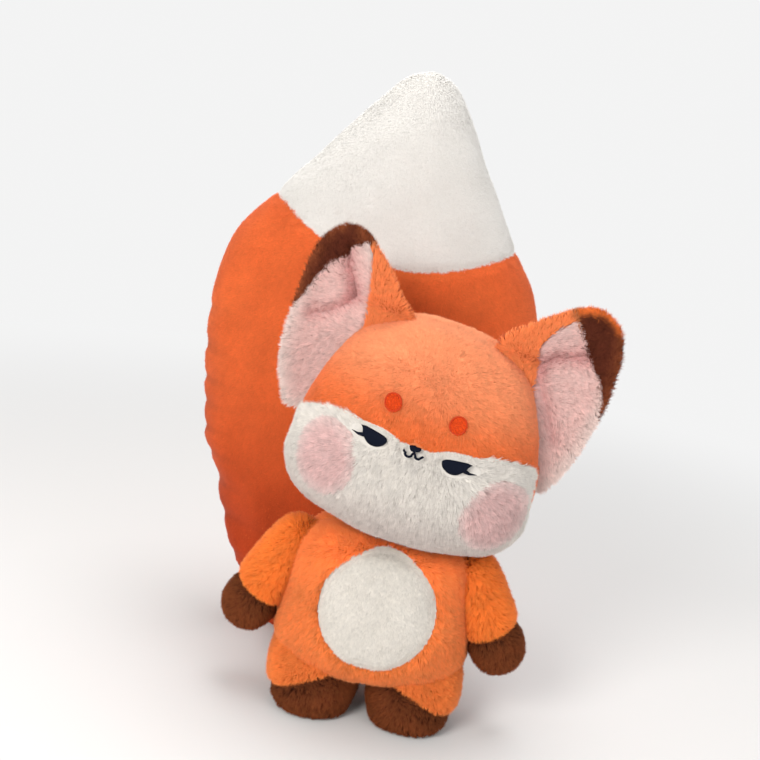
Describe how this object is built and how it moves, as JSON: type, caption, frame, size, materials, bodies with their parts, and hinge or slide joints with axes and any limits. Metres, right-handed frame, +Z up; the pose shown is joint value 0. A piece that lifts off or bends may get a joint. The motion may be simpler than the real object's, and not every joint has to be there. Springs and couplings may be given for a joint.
{
  "type": "plush fox",
  "caption": "Standing plush fox with a large leaf-shaped tail cushion, a sewn head that turns and tilts, and soft ears, arms and legs that bend at their seams.",
  "frame": {"origin": "on the floor, in the middle of the bounding box", "axes": "+Z up, the fox faces -Y, +X is the fox's left"},
  "size_m": [0.4425, 0.3645, 0.6482],
  "materials": {
    "forehead_fur": "long-pile plush, light orange",
    "head_fur": "long-pile plush, orange",
    "face_fur": "long-pile plush, off-white",
    "cheek_fur": "long-pile plush, pink",
    "eye_thread": "satin-stitch embroidery, dark navy",
    "brow_thread": "satin-stitch embroidery, red orange",
    "nose_thread": "satin-stitch embroidery, dark navy",
    "mouth_thread": "stitched line, dark navy",
    "ear_fur": "long-pile plush, orange",
    "ear_lining_fur": "plush, pink",
    "ear_tip_fur": "long-pile plush, dark brown",
    "torso_fur": "long-pile plush, orange",
    "belly_fur": "short-pile plush, off-white",
    "sleeve_fur": "long-pile plush, orange",
    "paw_fur": "long-pile plush, brown",
    "leg_fur": "long-pile plush, orange",
    "foot_fur": "long-pile plush, brown",
    "tail_fur": "short velvety pile, orange",
    "tail_tip_fur": "short velvety pile, white",
    "fibrefill": "loose polyester fibre",
    "neck_fabric": "plush, orange",
    "root_fabric": "plush, orange"
  },
  "bodies": {
    "torso": {"torso_front": "torso_fur", "torso_back": "torso_fur", "belly_panel": "belly_fur", "torso_stuffing": "fibrefill"},
    "neck": {"neck_stuffing": "neck_fabric"},
    "head": {"head_forehead": "forehead_fur", "head_back": "head_fur", "head_face": "face_fur", "cheek_patch_left": "cheek_fur", "cheek_patch_right": "cheek_fur", "eye_left": "eye_thread", "eye_right": "eye_thread", "brow_spot_left": "brow_thread", "brow_spot_right": "brow_thread", "nose": "nose_thread", "mouth": "mouth_thread", "head_stuffing": "fibrefill"},
    "ear_left": {"ear_left_back": "ear_fur", "ear_left_lining": "ear_lining_fur", "ear_left_tip": "ear_tip_fur"},
    "arm_left": {"arm_left_sleeve": "sleeve_fur", "paw_left": "paw_fur", "arm_left_stuffing": "fibrefill"},
    "leg_left": {"leg_left_upper": "leg_fur", "foot_left": "foot_fur", "leg_left_stuffing": "fibrefill"},
    "ear_right": {"ear_right_back": "ear_fur", "ear_right_lining": "ear_lining_fur", "ear_right_tip": "ear_tip_fur"},
    "arm_right": {"arm_right_sleeve": "sleeve_fur", "paw_right": "paw_fur", "arm_right_stuffing": "fibrefill"},
    "leg_right": {"leg_right_upper": "leg_fur", "foot_right": "foot_fur", "leg_right_stuffing": "fibrefill"},
    "tail_root": {"tail_root": "root_fabric"},
    "tail": {"tail_front": "tail_fur", "tail_back": "tail_fur", "tail_tip_front": "tail_tip_fur", "tail_tip_back": "tail_tip_fur", "tail_stuffing": "fibrefill"}
  },
  "joints": [
    {"name": "neck_turn", "type": "hinge", "parent": "torso", "child": "neck", "pos_m": [0.0279, -0.0816, 0.197], "axis": [0, 0, 1], "range_deg": [-12, 12], "stiffness_Nm_per_rad": 2.5},
    {"name": "head_tilt", "type": "hinge", "parent": "neck", "child": "head", "pos_m": [0.0279, -0.0816, 0.197], "axis": [0, 1, 0], "range_deg": [-9, 4], "stiffness_Nm_per_rad": 4},
    {"name": "ear_left_fold", "type": "hinge", "parent": "head", "child": "ear_left", "pos_m": [0.10915, -0.08463, 0.39476], "axis": [0.4188, -0.0364, -0.9074], "range_deg": [-15, 35], "stiffness_Nm_per_rad": 0.4},
    {"name": "ear_right_fold", "type": "hinge", "parent": "head", "child": "ear_right", "pos_m": [0.01663, -0.07857, 0.41025], "axis": [0.6914, -0.0364, 0.7216], "range_deg": [-15, 35], "stiffness_Nm_per_rad": 0.4},
    {"name": "arm_left_raise", "type": "hinge", "parent": "torso", "child": "arm_left", "pos_m": [0.1219, -0.0856, 0.154], "axis": [-1, 0, 0], "range_deg": [-15, 85], "stiffness_Nm_per_rad": 0.4},
    {"name": "arm_right_raise", "type": "hinge", "parent": "torso", "child": "arm_right", "pos_m": [-0.0661, -0.0856, 0.154], "axis": [-1, 0, 0], "range_deg": [-15, 85], "stiffness_Nm_per_rad": 0.4},
    {"name": "leg_left_raise", "type": "hinge", "parent": "torso", "child": "leg_left", "pos_m": [0.0779, -0.1276, 0.05], "axis": [-1, 0, 0], "range_deg": [0, 50], "stiffness_Nm_per_rad": 8, "springref_deg": -1.72},
    {"name": "leg_right_raise", "type": "hinge", "parent": "torso", "child": "leg_right", "pos_m": [-0.0221, -0.1276, 0.05], "axis": [-1, 0, 0], "range_deg": [0, 50], "stiffness_Nm_per_rad": 8, "springref_deg": -1.72},
    {"name": "tail_lean", "type": "hinge", "parent": "torso", "child": "tail_root", "pos_m": [0.0079, 0.0154, 0.095], "axis": [-1, 0, 0], "range_deg": [0, 30], "stiffness_Nm_per_rad": 8, "springref_deg": -2.86},
    {"name": "tail_wag", "type": "hinge", "parent": "tail_root", "child": "tail", "pos_m": [0.0079, 0.0154, 0.095], "axis": [0, 1, 0], "range_deg": [-12, 12], "stiffness_Nm_per_rad": 6}
  ]
}
